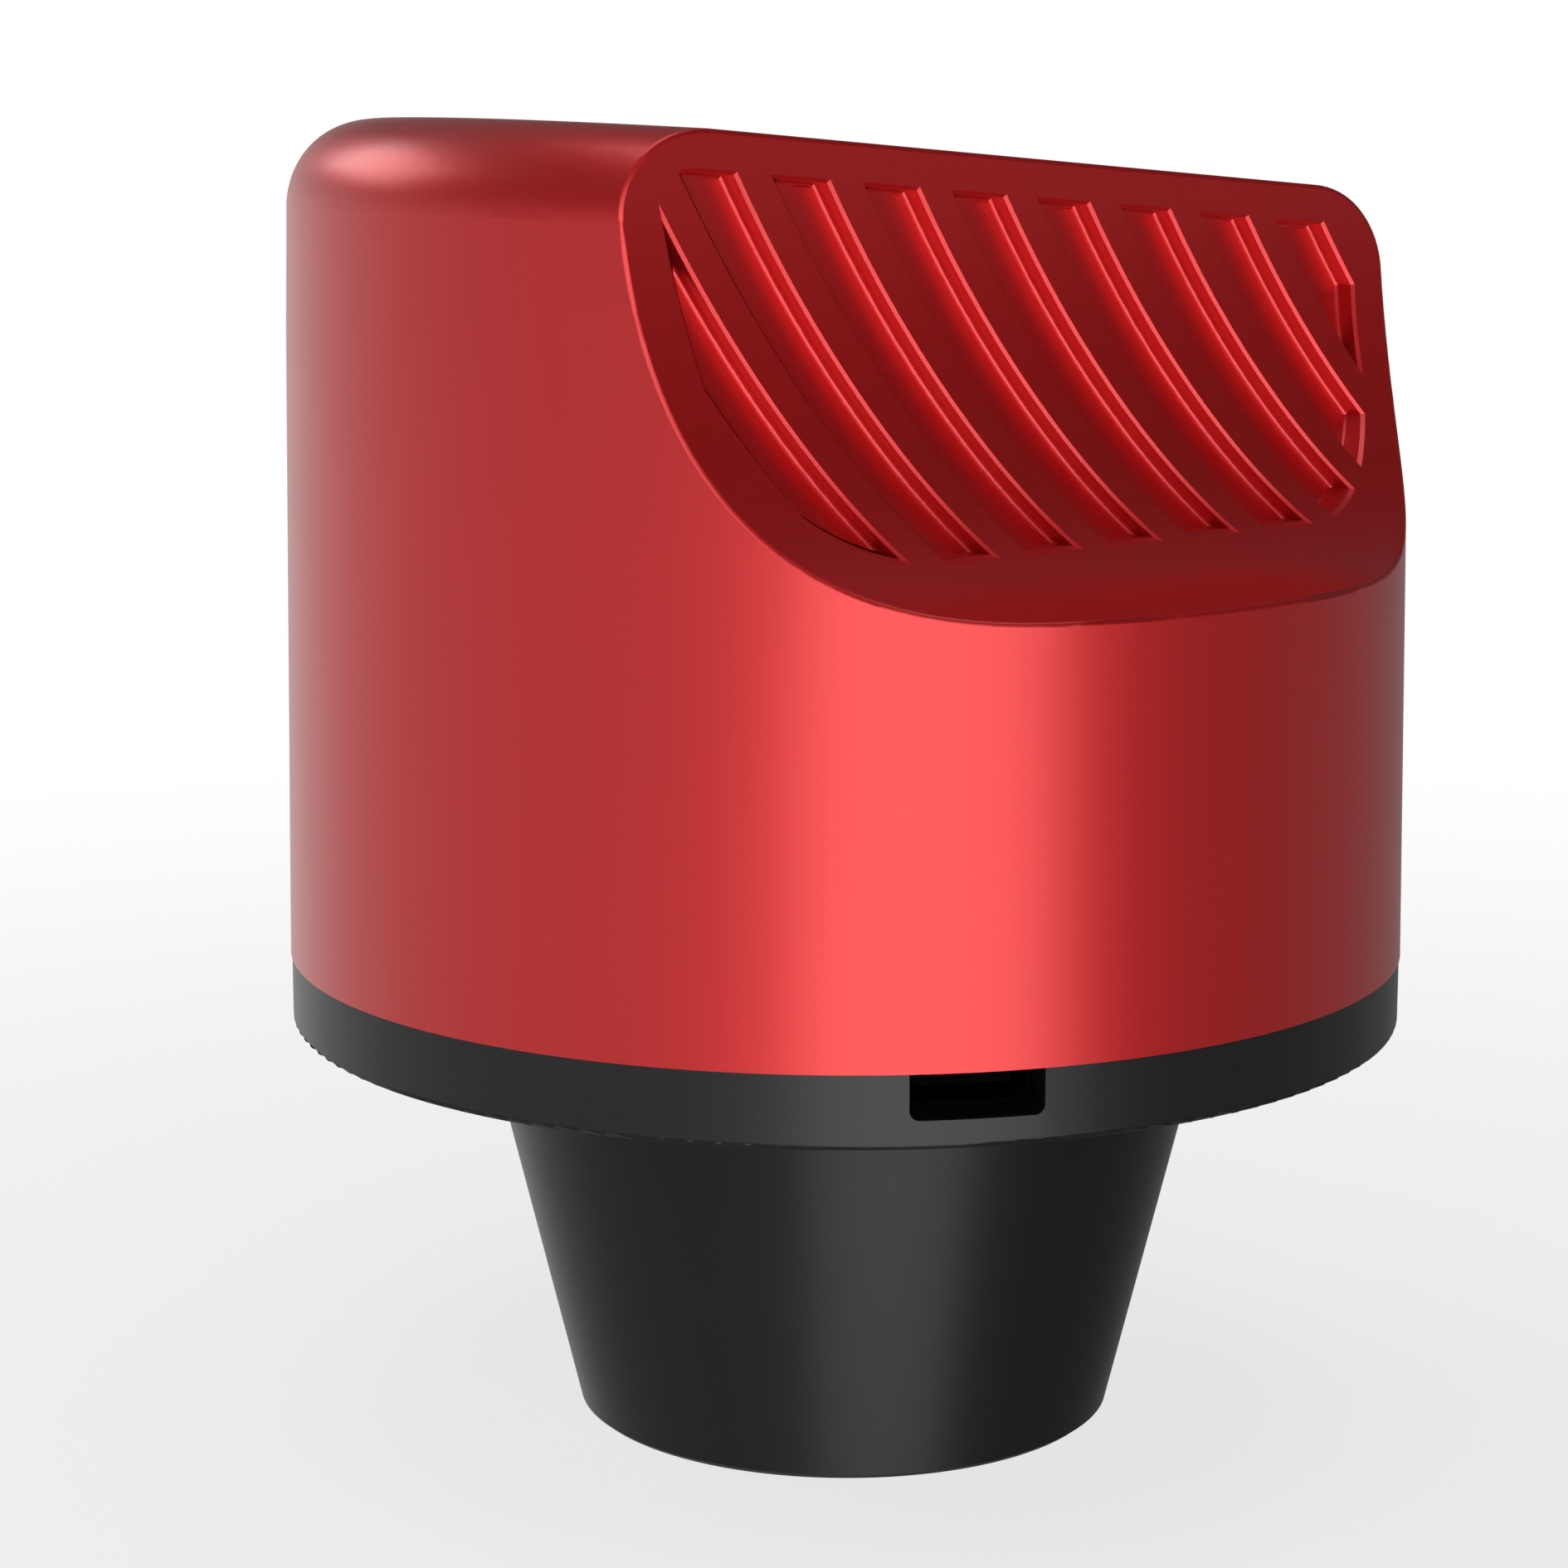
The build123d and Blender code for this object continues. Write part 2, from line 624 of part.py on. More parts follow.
with BuildPart() as tec_hot_plate:
    with BuildSketch(Plane.XY.offset(SINK_Z - plate_t)):
        with Locations((0.75, 0)):
            Rectangle(tec_size + 1.5, tec_size)
    extrude(amount=plate_t)
save(tec_hot_plate, "tec_hot_plate")

lead_start = tec_size / 2 + 1.5
lead_turn = 16.3
with BuildPart() as tec_leads:
    for y in (-1.6, 1.6):
        with BuildLine() as route:
            FilletPolyline(
                (lead_start, y, SINK_Z - plate_t / 2),
                (lead_turn, y, SINK_Z - plate_t / 2),
                (lead_turn, y, sensor_board_top),
                radius=1.2,
            )
        with BuildSketch(Plane(origin=route.line @ 0, z_dir=route.line % 0)):
            Circle(0.3)
        sweep()
save(tec_leads, "tec_leads")

ribbon_t = 0.2
ribbon_start = 14.0
ribbon_foot = board_top + 1.8
ribbon_plane = Plane(
    origin=(0, 0, 0),
    x_dir=(cos(radians(ribbon_angle)), sin(radians(ribbon_angle)), 0),
    z_dir=(sin(radians(ribbon_angle)), -cos(radians(ribbon_angle)), 0),
)
with BuildPart() as sensor_ribbon:
    with BuildSketch(ribbon_plane):
        with BuildLine():
            FilletPolyline(
                (ribbon_start, ribbon_z),
                (BOARD_MID_R, ribbon_z),
                (BOARD_MID_R, ribbon_foot),
                radius=1.5,
            )
        trace(line_width=ribbon_t)
    extrude(amount=4.0, both=True)
save(sensor_ribbon, "sensor_ribbon")

with BuildPart() as ribbon_seal:
    with BuildSketch(radial_plane(CHAMBER_IN_R + 0.1, ribbon_angle, ribbon_z)):
        Rectangle(8.9, 1.1)
        Rectangle(8.1, 0.3, mode=Mode.SUBTRACT)
    extrude(amount=1.9)
save(ribbon_seal, "ribbon_seal")

fan_corner = FAN_SIZE / 2 - 4
fan_corners = [(x, y) for x in (-fan_corner, fan_corner) for y in (-fan_corner, fan_corner)]
fin_count = 19
with BuildPart() as heat_sink:
    with BuildSketch(Plane.XY.offset(SINK_Z)):
        Circle(SINK_R)
    extrude(amount=SINK_BASE_T)
    with BuildSketch(Plane.XY.offset(SINK_Z + SINK_BASE_T)):
        with GridLocations(0, 3.4, 1, fin_count):
            Rectangle(2 * SINK_R, 1.2)
        Circle(SINK_R, mode=Mode.INTERSECT)
    extrude(amount=FIN_TOP - SINK_Z - SINK_BASE_T)
    with BuildSketch(Plane.XY.offset(SINK_Z + SINK_BASE_T)):
        with Locations(*fan_corners):
            Circle(3.2)
    extrude(amount=FAN_Z - SINK_Z - SINK_BASE_T)
    with BuildSketch(Plane.XY.offset(FAN_Z)):
        with Locations(*fan_corners):
            Circle(1.5)
    extrude(amount=-6, mode=Mode.SUBTRACT)
    with BuildSketch(Plane.XY.offset(SINK_Z)):
        with Locations(*flange_screws):
            Circle(1.25)
    extrude(amount=2.8, mode=Mode.SUBTRACT)
save(heat_sink, "heat_sink")

# =====================================================================================
# Fan over the heat sink
# =====================================================================================
FAN_BORE_R = 18.9
HUB_R = 9.5
SHAFT_R = 1.0
fan_top = FAN_Z + FAN_H
tube_top = FAN_Z + 8.0
with BuildPart() as fan_frame:
    with BuildSketch(Plane.XY.offset(FAN_Z)):
        RectangleRounded(FAN_SIZE, FAN_SIZE, 3)
        Circle(FAN_BORE_R, mode=Mode.SUBTRACT)
        with Locations(*fan_corners):
            Circle(1.7, mode=Mode.SUBTRACT)
    extrude(amount=FAN_H)
    with BuildSketch(Plane.XY.offset(FAN_Z)):
        with PolarLocations(14, 3, start_angle=90):
            Rectangle(12, 2.4)
        Circle(8.6)
        Circle(SHAFT_R + 1.1, mode=Mode.SUBTRACT)
    extrude(amount=1.5)
    with BuildSketch(Plane.XY.offset(FAN_Z)):
        Circle(2.9)
        Circle(SHAFT_R + 1.1, mode=Mode.SUBTRACT)
    extrude(amount=tube_top - FAN_Z)
save(fan_frame, "fan_frame")

with BuildPart() as fan_bearings:
    for bottom in (FAN_Z + 1.0, tube_top - 2.2):
        with BuildSketch(Plane.XY.offset(bottom)):
            Circle(SHAFT_R + 1.05)
            Circle(SHAFT_R + FIT, mode=Mode.SUBTRACT)
        extrude(amount=2.0)
save(fan_bearings, "fan_bearings")

with BuildPart() as fan_stator:
    with BuildSketch(Plane.XY.offset(FAN_Z + 3.4)):
        Circle(4.4)
        with PolarLocations(5.2, 4):
            Rectangle(3.4, 1.8)
        with PolarLocations(6.6, 4):
            Rectangle(1.0, 5.4)
        Circle(2.95, mode=Mode.SUBTRACT)
    extrude(amount=3.2)
save(fan_stator, "fan_stator")

with BuildPart() as fan_coils:
    with BuildSketch(Plane.XY.offset(FAN_Z + 2.9)):
        with PolarLocations(5.25, 4):
            Rectangle(1.4, 4.2)
    extrude(amount=4.2)
    with BuildSketch(Plane.XY.offset(FAN_Z + 3.35)):
        Circle(4.5)
        with PolarLocations(5.2, 4):
            Rectangle(3.6, 1.9)
    extrude(amount=3.3, mode=Mode.SUBTRACT)
save(fan_coils, "fan_coils")

with BuildPart() as fan_shaft:
    with BuildSketch(Plane.XY.offset(FAN_Z + 0.6)):
        Circle(SHAFT_R)
    extrude(amount=fan_top - 1.0 - FAN_Z)
save(fan_shaft, "fan_shaft")

blade_count = 7
blade_pitch = 38
with BuildPart() as fan_rotor:
    with BuildSketch(Plane.XY.offset(FAN_Z + 2.4)):
        Circle(HUB_R)
        Circle(HUB_R - 0.9, mode=Mode.SUBTRACT)
    extrude(amount=FAN_H - 3.4)
    with BuildSketch(Plane.XY.offset(fan_top - 1.5)):
        Circle(HUB_R)
        Circle(SHAFT_R, mode=Mode.SUBTRACT)
    extrude(amount=1.1)
    for k in range(blade_count):
        with BuildSketch(radial_plane(HUB_R - 0.5, k * 360 / blade_count, FAN_Z + 5.6)):
            Rectangle(8.6, 0.9, rotation=blade_pitch)
        extrude(amount=10)
    with BuildSketch(Plane.XY.offset(FAN_Z)):
        Circle(HUB_R + 20)
        Circle(FAN_BORE_R - 0.6, mode=Mode.SUBTRACT)
    extrude(amount=FAN_H, mode=Mode.SUBTRACT)
save(fan_rotor, "fan_rotor")
save(ring(HUB_R - 1.9, HUB_R - 0.9, FAN_Z + 3.0, FAN_Z + 8.0), "fan_magnet")
save(cap_screws(fan_corners, fan_top, 1.4, FAN_H + 5, 2.6, 1.8), "fan_screws")

lead_r = 0.7
lead_z = FAN_Z + 1.1
lead_drop = 36.4
lead_low = board_top + 6.8
with BuildPart() as fan_lead:
    with BuildLine() as lead_route:
        FilletPolyline(
            (-FAN_SIZE / 2, 0, lead_z),
            (-lead_drop, 0, lead_z),
            (-lead_drop, 0, lead_low),
            (-BOARD_MID_R, 0, lead_low),
            (-BOARD_MID_R, 0, board_top + 4.0),
            radius=[2.4, 1.6, 1.4],
        )
    with BuildSketch(Plane(origin=lead_route.line @ 0, z_dir=lead_route.line % 0)):
        Circle(lead_r)
    sweep()
save(fan_lead, "fan_lead")

# =====================================================================================
# Shutter between the nosepiece and the chamber's window, modelled parked
# =====================================================================================
blade_r = 11.0
hub_r = 2.6
can_z = CHAMBER_Z + 0.7
with BuildPart() as shutter_blade:
    with BuildSketch(Plane.XY.offset(BLADE_Z)):
        Circle(blade_r)
        with Locations(Location(polar(SHUTTER_R / 2, SHUTTER_ANGLE), SHUTTER_ANGLE)):
            Rectangle(SHUTTER_R, 4.4)
        with Locations(pivot):
            Circle(hub_r)
            Circle(SHAFT_R, mode=Mode.SUBTRACT)
    extrude(amount=BLADE_T)
pivot_axis = Axis((pivot[0], pivot[1], 0), (0, 0, 1))
shutter_blade.part = shutter_blade.part.rotate(pivot_axis, SHUTTER_TRAVEL)
save(shutter_blade, "shutter_blade")

with BuildPart() as shutter_shaft:
    with BuildSketch(Plane.XY.offset(BLADE_Z - 0.2)):
        with Locations(pivot):
            Circle(SHAFT_R)
    extrude(amount=8)
save(shutter_shaft, "shutter_shaft")

with BuildPart() as shutter_motor:
    with BuildSketch(Plane.XY.offset(CHAMBER_Z - 0.1)):
        with Locations(pivot):
            Circle(5.2)
        with Locations(*shutter_legs):
            Circle(1.7)
        for leg in shutter_legs:
            middle = ((pivot[0] + leg[0]) / 2, (pivot[1] + leg[1]) / 2)
            towards = Vector(leg[0] - pivot[0], leg[1] - pivot[1]).get_angle(Vector(1, 0))
            sign = 1 if leg[1] > pivot[1] else -1
            with Locations(Location(middle, sign * towards)):
                Rectangle(8.2, 3.4)
    extrude(amount=0.8)
    with BuildSketch(Plane.XY.offset(FLOOR_TOP)):
        with Locations(*shutter_legs):
            Circle(1.5)
    extrude(amount=CHAMBER_Z - FLOOR_TOP)
    with BuildSketch(Plane.XY.offset(can_z)):
        with Locations(pivot):
            Circle(5.0)
    extrude(amount=9.0)
    with BuildSketch(Plane.XY.offset(FLOOR_TOP)):
        with Locations(*shutter_legs):
            Circle(0.8)
    extrude(amount=3, mode=Mode.SUBTRACT)
    with BuildSketch(Plane.XY.offset(FLOOR_TOP)):
        with Locations(pivot):
            Circle(SHAFT_R + FIT)
    extrude(amount=9.2, mode=Mode.SUBTRACT)
save(shutter_motor, "shutter_motor")
leg_seat = CHAMBER_Z + 0.7
save(cap_screws(shutter_legs, leg_seat, 0.75, leg_seat - FLOOR_TOP + 1.1, 1.4, 1.0), "shutter_screws")
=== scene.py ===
"""Looks of the cooled camera head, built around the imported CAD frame. Metres, +Z up."""
import json
import math

import bpy
from mathutils import Matrix, Vector


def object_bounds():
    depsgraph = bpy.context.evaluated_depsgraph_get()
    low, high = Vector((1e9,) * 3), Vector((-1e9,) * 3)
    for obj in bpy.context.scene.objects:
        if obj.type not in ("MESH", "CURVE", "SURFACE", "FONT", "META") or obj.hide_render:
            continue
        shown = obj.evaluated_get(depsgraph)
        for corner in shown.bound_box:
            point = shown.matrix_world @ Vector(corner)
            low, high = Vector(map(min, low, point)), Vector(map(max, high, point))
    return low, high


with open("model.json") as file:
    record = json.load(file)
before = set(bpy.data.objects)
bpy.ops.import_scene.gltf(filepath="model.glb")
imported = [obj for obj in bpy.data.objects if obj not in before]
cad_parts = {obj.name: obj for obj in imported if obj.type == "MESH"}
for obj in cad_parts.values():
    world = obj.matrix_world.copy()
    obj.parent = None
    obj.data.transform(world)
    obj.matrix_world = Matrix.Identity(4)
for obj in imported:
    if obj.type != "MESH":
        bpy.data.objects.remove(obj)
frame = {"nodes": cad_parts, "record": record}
cad_low, cad_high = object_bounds()

MM = 0.001

# ---- the view: the camera stands to the right of the ridge's high end, a little above the middle ----
CAMERA_AZIMUTH = 49.5
CAMERA_PITCH = 10.54
CAMERA_YAW = 0.9             # turned left, so the object stands right of the frame's centre
CAMERA_DISTANCE = 294.0 * MM
CAMERA_HEIGHT = 102.65 * MM
SENSOR_WIDTH = 36.0
LENS = 90.44

# ---- studio: azimuths are counted as the camera's is, radiances are relative to white ----
FLOOR_RADIUS = 0.9
FLOOR_GLOW_FROM = 0.05       # the floor turns from lit paper into an evenly lit white sweep
FLOOR_GLOW_TO = 0.30
FLOOR_GLOW_LEAST = 0.75      # share of the glow right under the object
FLOOR_COLOUR = (0.93, 0.93, 0.93)
DARK_AZIMUTH = 152.0         # the studio is dim on this side
WORLD_DIM = 0.22
WORLD_BRIGHT = 0.78
WORLD_TOP = 0.22             # what is left of it higher up
WORLD_LOW = 0.35             # and below the object
SIDE_SPAN = (-0.35, 0.75)    # the ramps of the surround, as cosines from the side and the vertical
UPPER_SPAN = (-0.05, 0.3)
LOWER_SPAN = (-0.6, -0.2)

# name, azimuth, elevation, distance, width, height, radiance
SOFTBOXES = (
    ("key", 66.0, -12, 1.2, 1.12, 1.8, 2.2),                       # draws the drum's bright band
    ("overhead", CAMERA_AZIMUTH, 88, 1.0, 0.8, 0.8, 1.3),
    ("back_left", CAMERA_AZIMUTH - 122, 28, 1.2, 0.7, 0.4, 2.6),   # draws the gleam on the rounded top edge
)

# ---- finishes ----
BUMP_DEPTH = 0.02 * MM       # grain of an ordinary surface
TRACK_DEPTH = 0.03 * MM      # tracks, windings and ribs
BEAD_DEPTH = 0.1 * MM
COAT_ROUGHNESS = 0.3


# =====================================================================================
# Node helpers
# =====================================================================================
def new_material(name):
    """Empty node material with its output and a Principled shader."""
    material = bpy.data.materials.new(name)
    material.use_nodes = True
    tree = material.node_tree
    tree.nodes.clear()
    output = tree.nodes.new("ShaderNodeOutputMaterial")
    output.name = "Material Output"
    shader = tree.nodes.new("ShaderNodeBsdfPrincipled")
    tree.links.new(shader.outputs["BSDF"], output.inputs["Surface"])
    return material, tree, shader


def noise(tree, scale, detail=3.0, roughness=0.5, stretch=(1, 1, 1)):
    """Noise in object space, so that its grain has a real size."""
    place = tree.nodes.new("ShaderNodeTexCoord")
    mapping = tree.nodes.new("ShaderNodeMapping")
    mapping.inputs["Scale"].default_value = stretch
    texture = tree.nodes.new("ShaderNodeTexNoise")
    texture.inputs["Scale"].default_value = scale
    texture.inputs["Detail"].default_value = detail
    texture.inputs["Roughness"].default_value = roughness
    tree.links.new(place.outputs["Object"], mapping.inputs["Vector"])
    tree.links.new(mapping.outputs["Vector"], texture.inputs["Vector"])
    return texture.outputs["Fac"]


def spread(tree, value, low, high):
    """Maps 0.3..0.7 of a noise to low..high."""
    node = tree.nodes.new("ShaderNodeMapRange")
    node.inputs["From Min"].default_value = 0.3
    node.inputs["From Max"].default_value = 0.7
    node.inputs["To Min"].default_value = low
    node.inputs["To Max"].default_value = high
    tree.links.new(value, node.inputs["Value"])
    return node.outputs["Result"]


def mix_colour(tree, factor, first, second):
    """Two colours mixed by a factor socket."""
    node = tree.nodes.new("ShaderNodeMix")
    node.data_type = "RGBA"
    node.inputs["A"].default_value = (*first, 1)
    node.inputs["B"].default_value = (*second, 1)
    tree.links.new(factor, node.inputs["Factor"])
    return node.outputs["Result"]


def grain_bump(tree, shader, height, strength, distance, edge=0.0):
    """Bump from a height socket; edge rounds the normals at sharp corners by that radius."""
    bump = tree.nodes.new("ShaderNodeBump")
    bump.inputs["Strength"].default_value = strength
    bump.inputs["Distance"].default_value = distance
    tree.links.new(height, bump.inputs["Height"])
    if edge:
        bevel = tree.nodes.new("ShaderNodeBevel")
        bevel.samples = 6
        bevel.inputs["Radius"].default_value = edge
        tree.links.new(bevel.outputs["Normal"], bump.inputs["Normal"])
    tree.links.new(bump.outputs["Normal"], shader.inputs["Normal"])


def shade(colour, factor):
    """A colour made lighter or darker."""
    return tuple(min(1.0, c * factor) for c in colour)


def finish_material(name, colour, metallic, roughness, grain, bump, vary=0.12, edge=0.0, coat=0.0, specular=0.5):
    """Moulded, blasted or machined surface: fine grain, slow colour change, uneven roughness.

    edge is the radius of a softened corner, coat the weight of a clear layer over the colour.
    """
    material, tree, shader = new_material(name)
    fine = noise(tree, grain, detail=4.0, roughness=0.6)
    slow = noise(tree, 60.0, detail=2.0)
    tint = mix_colour(tree, slow, shade(colour, 1 - vary), shade(colour, 1 + vary))
    tree.links.new(tint, shader.inputs["Base Color"])
    tree.links.new(spread(tree, fine, roughness * 0.9, roughness * 1.1), shader.inputs["Roughness"])
    shader.inputs["Metallic"].default_value = metallic
    shader.inputs["Specular IOR Level"].default_value = specular
    shader.inputs["Coat Weight"].default_value = coat
    shader.inputs["Coat Roughness"].default_value = COAT_ROUGHNESS
    grain_bump(tree, shader, fine, bump, BUMP_DEPTH, edge)
    return material


# =====================================================================================
# Materials of the record's slots
# =====================================================================================
def glass(name):
    """Clear window with a faint coating tint."""
    material, tree, shader = new_material(name)
    slow = noise(tree, 90.0, detail=1.0)
    tree.links.new(mix_colour(tree, slow, (0.80, 0.93, 0.90), (0.93, 0.86, 0.96)), shader.inputs["Base Color"])
    tree.links.new(spread(tree, slow, 0.01, 0.03), shader.inputs["Roughness"])
    shader.inputs["Transmission Weight"].default_value = 0.92
    shader.inputs["IOR"].default_value = 1.5
    shader.inputs["Coat Weight"].default_value = 0.4
    return material


def circuit_board(name):
    """Green board with a grid of tracks."""
    material, tree, shader = new_material(name)
    place = tree.nodes.new("ShaderNodeTexCoord")
    tracks = tree.nodes.new("ShaderNodeTexBrick")
    tracks.inputs["Scale"].default_value = 420.0
    tracks.inputs["Mortar Size"].default_value = 0.03
    tracks.inputs["Color1"].default_value = (0.012, 0.085, 0.045, 1)
    tracks.inputs["Color2"].default_value = (0.014, 0.10, 0.05, 1)
    tracks.inputs["Mortar"].default_value = (0.03, 0.19, 0.09, 1)
    tree.links.new(place.outputs["Object"], tracks.inputs["Vector"])
    tree.links.new(tracks.outputs["Color"], shader.inputs["Base Color"])
    tree.links.new(spread(tree, noise(tree, 900.0), 0.28, 0.4), shader.inputs["Roughness"])
    grain_bump(tree, shader, tracks.outputs["Fac"], 0.3, TRACK_DEPTH)
    return material


def stripes(name, dark, light, scale, metallic, roughness):
    """Parallel bands across a flat lead, a winding or a turned part."""
    material, tree, shader = new_material(name)
    place = tree.nodes.new("ShaderNodeTexCoord")
    wave = tree.nodes.new("ShaderNodeTexWave")
    wave.wave_type = "BANDS"
    wave.bands_direction = "Z"
    wave.inputs["Scale"].default_value = scale
    wave.inputs["Distortion"].default_value = 0.4
    tree.links.new(place.outputs["Object"], wave.inputs["Vector"])
    tree.links.new(mix_colour(tree, wave.outputs["Fac"], dark, light), shader.inputs["Base Color"])
    tree.links.new(spread(tree, wave.outputs["Fac"], roughness, roughness * 1.3), shader.inputs["Roughness"])
    shader.inputs["Metallic"].default_value = metallic
    grain_bump(tree, shader, wave.outputs["Fac"], 0.4, TRACK_DEPTH)
    return material


def sensor_surface(name):
    """Dark sensor area with a fine grid of cells."""
    material, tree, shader = new_material(name)
    place = tree.nodes.new("ShaderNodeTexCoord")
    cells = tree.nodes.new("ShaderNodeTexChecker")
    cells.inputs["Scale"].default_value = 3000.0
    cells.inputs["Color1"].default_value = (0.05, 0.03, 0.10, 1)
    cells.inputs["Color2"].default_value = (0.03, 0.06, 0.09, 1)
    tree.links.new(place.outputs["Object"], cells.inputs["Vector"])
    tree.links.new(cells.outputs["Color"], shader.inputs["Base Color"])
    tree.links.new(spread(tree, noise(tree, 400.0), 0.12, 0.2), shader.inputs["Roughness"])
    shader.inputs["Metallic"].default_value = 0.4
    shader.inputs["Coat Weight"].default_value = 0.6
    return material


def desiccant_beads(name):
    """Pale beads packed together."""
    material, tree, shader = new_material(name)
    place = tree.nodes.new("ShaderNodeTexCoord")
    beads = tree.nodes.new("ShaderNodeTexVoronoi")
    beads.inputs["Scale"].default_value = 900.0
    tree.links.new(place.outputs["Object"], beads.inputs["Vector"])
    tint = mix_colour(tree, beads.outputs["Distance"], (0.85, 0.84, 0.78), (0.45, 0.44, 0.4))
    tree.links.new(tint, shader.inputs["Base Color"])
    tree.links.new(spread(tree, beads.outputs["Distance"], 0.5, 0.75), shader.inputs["Roughness"])
    grain_bump(tree, shader, beads.outputs["Distance"], 0.8, BEAD_DEPTH)
    return material


RED = (0.60, 0.011, 0.013)
BLACK = (0.018, 0.018, 0.0184)
MAKERS = {
    "red_anodised": lambda n: finish_material(
        n, RED, 0.7, 0.42, 9000.0, 0.10, vary=0.03, coat=0.9, specular=0.1
    ),
    "black_anodised": lambda n: finish_material(n, BLACK, 0.5, 0.34, 8000.0, 0.10, vary=0.1),
    "rubber": lambda n: finish_material(n, (0.014, 0.014, 0.014), 0.0, 0.72, 2500.0, 0.35),
    "black_steel": lambda n: finish_material(n, (0.03, 0.03, 0.033), 0.8, 0.35, 5000.0, 0.15, edge=0.1 * MM),
    # painted shade: the port shell is near-black and almost unreflective, so the port opening reads as a dark
    # hole rather than as metal
    "port_shell": lambda n: finish_material(n, (0.002, 0.002, 0.002), 0.0, 0.8, 4000.0, 0.1, specular=0.03),
    "black_plastic": lambda n: finish_material(
        n, (0.018, 0.018, 0.019), 0.0, 0.5, 3500.0, 0.3, edge=0.1 * MM
    ),
    "circuit_board": circuit_board,
    "chip_plastic": lambda n: finish_material(n, (0.02, 0.02, 0.021), 0.0, 0.55, 3000.0, 0.3),
    "connector_plastic": lambda n: finish_material(n, (0.68, 0.65, 0.55), 0.0, 0.45, 2500.0, 0.2),
    "brass": lambda n: finish_material(n, (0.72, 0.50, 0.20), 1.0, 0.28, 4000.0, 0.1),
    "steel": lambda n: finish_material(n, (0.56, 0.57, 0.59), 1.0, 0.3, 5000.0, 0.12),
    "glass": glass,
    "desiccant": desiccant_beads,
    "ceramic": lambda n: finish_material(n, (0.82, 0.82, 0.79), 0.0, 0.6, 3000.0, 0.25),
    "sensor": sensor_surface,
    "ribbon": lambda n: stripes(n, (0.30, 0.13, 0.02), (0.62, 0.33, 0.08), 500.0, 0.0, 0.35),
    "thermal_pad": lambda n: finish_material(n, (0.38, 0.44, 0.56), 0.0, 0.75, 1800.0, 0.4),
    "copper": lambda n: stripes(n, (0.55, 0.22, 0.10), (0.85, 0.45, 0.27), 900.0, 1.0, 0.28),
    "foam": lambda n: finish_material(n, (0.04, 0.04, 0.04), 0.0, 0.9, 1200.0, 0.9),
    "pellet": lambda n: finish_material(n, (0.22, 0.22, 0.25), 0.7, 0.5, 3000.0, 0.3),
    "lead_insulation": lambda n: finish_material(n, (0.45, 0.02, 0.02), 0.0, 0.4, 1500.0, 0.1),
    "aluminium": lambda n: finish_material(n, (0.74, 0.75, 0.77), 1.0, 0.3, 4500.0, 0.15),
    "magnet": lambda n: finish_material(n, (0.06, 0.06, 0.065), 0.6, 0.5, 2500.0, 0.3),
    "blade": lambda n: finish_material(n, (0.015, 0.015, 0.016), 0.3, 0.6, 3500.0, 0.2),
}
materials = {slot: make(slot) for slot, make in MAKERS.items()}

for part in frame["record"]["subparts"]:
    shown = frame["nodes"][part["node"]]
    # painted shade: the tongue gets the port shell's near-black finish, since it lies in the port's shadow
    slot = "port_shell" if part["node"] == "usb_c_tongue" else part["material_slot"]
    shown.data.materials.clear()
    shown.data.materials.append(materials[slot])


# =====================================================================================
# Camera, lights and floor
# =====================================================================================
def make_camera():
    """Perspective camera at the stated azimuth, height, pitch and yaw."""
    azimuth = math.radians(CAMERA_AZIMUTH)
    place = Vector((math.sin(azimuth), -math.cos(azimuth), 0)) * CAMERA_DISTANCE
    place.z = CAMERA_HEIGHT
    data = bpy.data.cameras.new("camera")
    data.sensor_width = SENSOR_WIDTH
    data.lens = LENS
    data.clip_start = 0.01
    data.clip_end = 100.0
    camera = bpy.data.objects.new("camera", data)
    bpy.context.scene.collection.objects.link(camera)
    turn = Matrix.Rotation(azimuth + math.radians(CAMERA_YAW), 4, "Z")
    tilt = Matrix.Rotation(math.radians(90 - CAMERA_PITCH), 4, "X")
    camera.matrix_world = Matrix.Translation(place) @ turn @ tilt
    bpy.context.scene.camera = camera


def softbox(name, azimuth, elevation, distance, width, height, radiance):
    """Area light aimed at the object's middle; its power gives the stated radiance."""
    a = math.radians(azimuth)
    e = math.radians(elevation)
    middle = (cad_low + cad_high) / 2
    out = Vector((math.sin(a) * math.cos(e), -math.cos(a) * math.cos(e), math.sin(e)))
    data = bpy.data.lights.new(name, "AREA")
    data.shape = "RECTANGLE"
    data.size = width
    data.size_y = height
    data.energy = radiance * math.pi * width * height
    light = bpy.data.objects.new(name, data)
    bpy.context.scene.collection.objects.link(light)
    light.location = middle + out * distance
    light.rotation_mode = "QUATERNION"
    light.rotation_quaternion = out.to_track_quat("Z", "Y")
    light.visible_camera = False


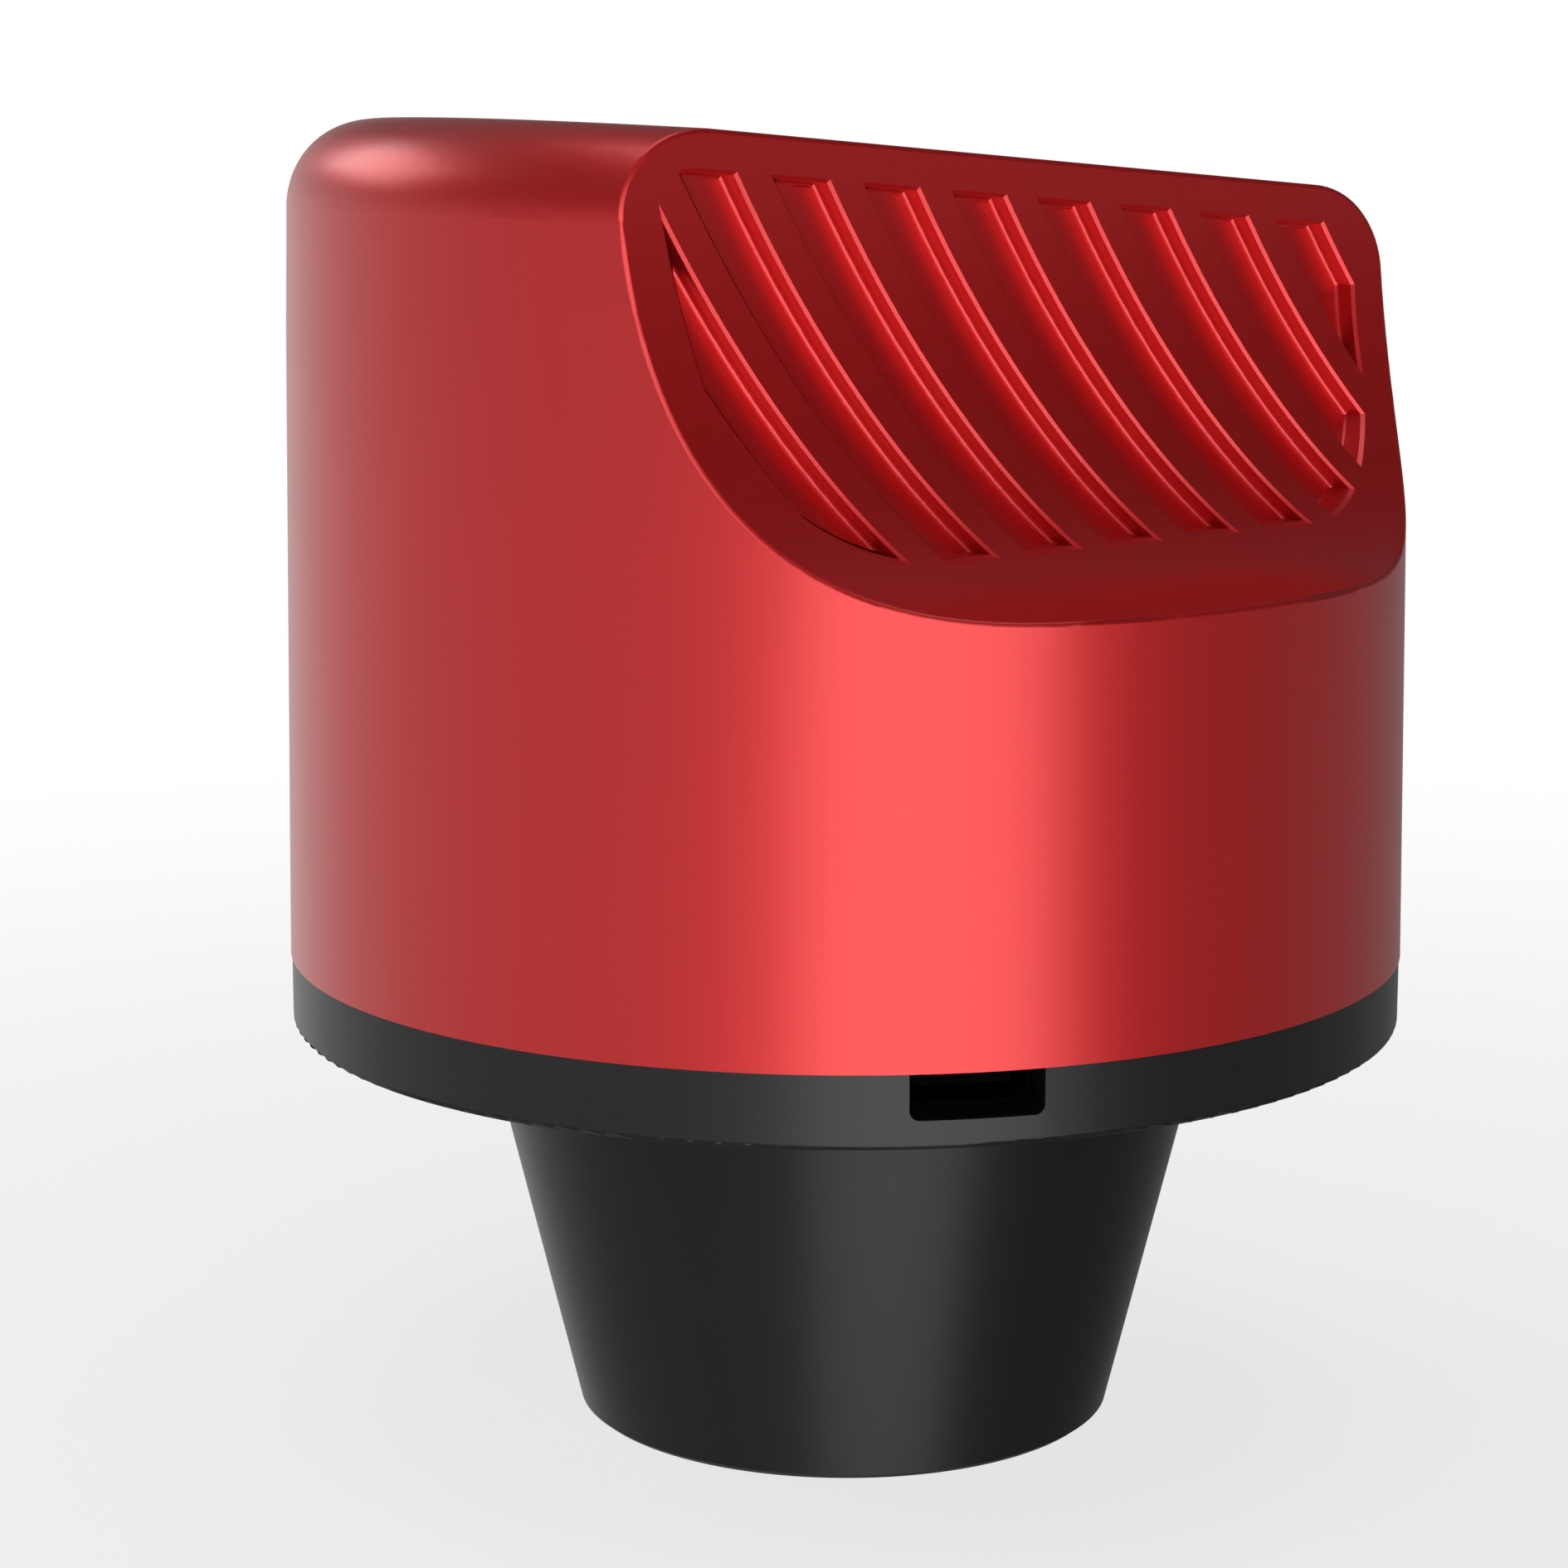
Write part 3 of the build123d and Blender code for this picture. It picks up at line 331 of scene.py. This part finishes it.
def make_floor():
    """White paper round the object that turns into a glowing white sweep further out."""
    bpy.ops.mesh.primitive_circle_add(vertices=128, radius=FLOOR_RADIUS, fill_type="NGON")
    floor = bpy.context.object
    floor.name = "floor"
    material, tree, shader = new_material("floor")
    tree.links.new(
        mix_colour(tree, noise(tree, 3.0), shade(FLOOR_COLOUR, 0.99), shade(FLOOR_COLOUR, 1.01)),
        shader.inputs["Base Color"],
    )
    shader.inputs["Roughness"].default_value = 0.9
    shader.inputs["Specular IOR Level"].default_value = 0.0
    place = tree.nodes.new("ShaderNodeTexCoord")
    distance = tree.nodes.new("ShaderNodeVectorMath")
    distance.operation = "LENGTH"
    tree.links.new(place.outputs["Object"], distance.inputs[0])
    blend = tree.nodes.new("ShaderNodeMapRange")
    blend.interpolation_type = "SMOOTHSTEP"
    blend.inputs["From Min"].default_value = FLOOR_GLOW_FROM
    blend.inputs["From Max"].default_value = FLOOR_GLOW_TO
    blend.inputs["To Min"].default_value = FLOOR_GLOW_LEAST
    tree.links.new(distance.outputs["Value"], blend.inputs["Value"])
    glow = tree.nodes.new("ShaderNodeEmission")
    mix = tree.nodes.new("ShaderNodeMixShader")
    tree.links.new(blend.outputs["Result"], mix.inputs["Fac"])
    tree.links.new(shader.outputs["BSDF"], mix.inputs[1])
    tree.links.new(glow.outputs["Emission"], mix.inputs[2])
    tree.links.new(mix.outputs["Shader"], tree.nodes["Material Output"].inputs["Surface"])
    floor.data.materials.append(material)
    floor.visible_glossy = False
    floor.visible_diffuse = False
    floor.visible_shadow = False


def ramp(tree, value, start, end, low, high):
    """Smooth change from low at start to high at end."""
    node = tree.nodes.new("ShaderNodeMapRange")
    node.interpolation_type = "SMOOTHSTEP"
    node.inputs["From Min"].default_value = start
    node.inputs["From Max"].default_value = end
    node.inputs["To Min"].default_value = low
    node.inputs["To Max"].default_value = high
    tree.links.new(value, node.inputs["Value"])
    return node.outputs["Result"]


def product(tree, first, second):
    """Product of two value sockets."""
    node = tree.nodes.new("ShaderNodeMath")
    node.operation = "MULTIPLY"
    tree.links.new(first, node.inputs[0])
    tree.links.new(second, node.inputs[1])
    return node.outputs["Value"]


def along(tree, vector, direction):
    """Dot product of a vector socket and a fixed direction."""
    node = tree.nodes.new("ShaderNodeVectorMath")
    node.operation = "DOT_PRODUCT"
    node.inputs[1].default_value = direction
    tree.links.new(vector, node.inputs[0])
    return node.outputs["Value"]


def make_world():
    """White where it is seen; as light it is bright low on one side and dim on the other side and above."""
    world = bpy.data.worlds.new("studio")
    world.use_nodes = True
    bpy.context.scene.world = world
    tree = world.node_tree
    background = tree.nodes["Background"]
    background.inputs["Color"].default_value = (1, 1, 1, 1)
    towards = tree.nodes.new("ShaderNodeTexCoord").outputs["Generated"]
    dark = math.radians(DARK_AZIMUTH)
    side = along(tree, towards, (math.sin(dark), -math.cos(dark), 0))
    height = along(tree, towards, (0, 0, 1))
    upper = ramp(tree, height, *UPPER_SPAN, 1.0, WORLD_TOP)
    lower = ramp(tree, height, *LOWER_SPAN, WORLD_LOW, 1.0)
    light = product(tree, ramp(tree, side, *SIDE_SPAN, WORLD_BRIGHT, WORLD_DIM), product(tree, upper, lower))
    rays = tree.nodes.new("ShaderNodeLightPath")
    seen = tree.nodes.new("ShaderNodeMix")
    tree.links.new(rays.outputs["Is Camera Ray"], seen.inputs["Factor"])
    tree.links.new(light, seen.inputs["A"])
    seen.inputs["B"].default_value = 1.0
    tree.links.new(seen.outputs["Result"], background.inputs["Strength"])


make_camera()
make_floor()
make_world()
for box in SOFTBOXES:
    softbox(*box)

scene = bpy.context.scene
scene.view_settings.view_transform = "Standard"
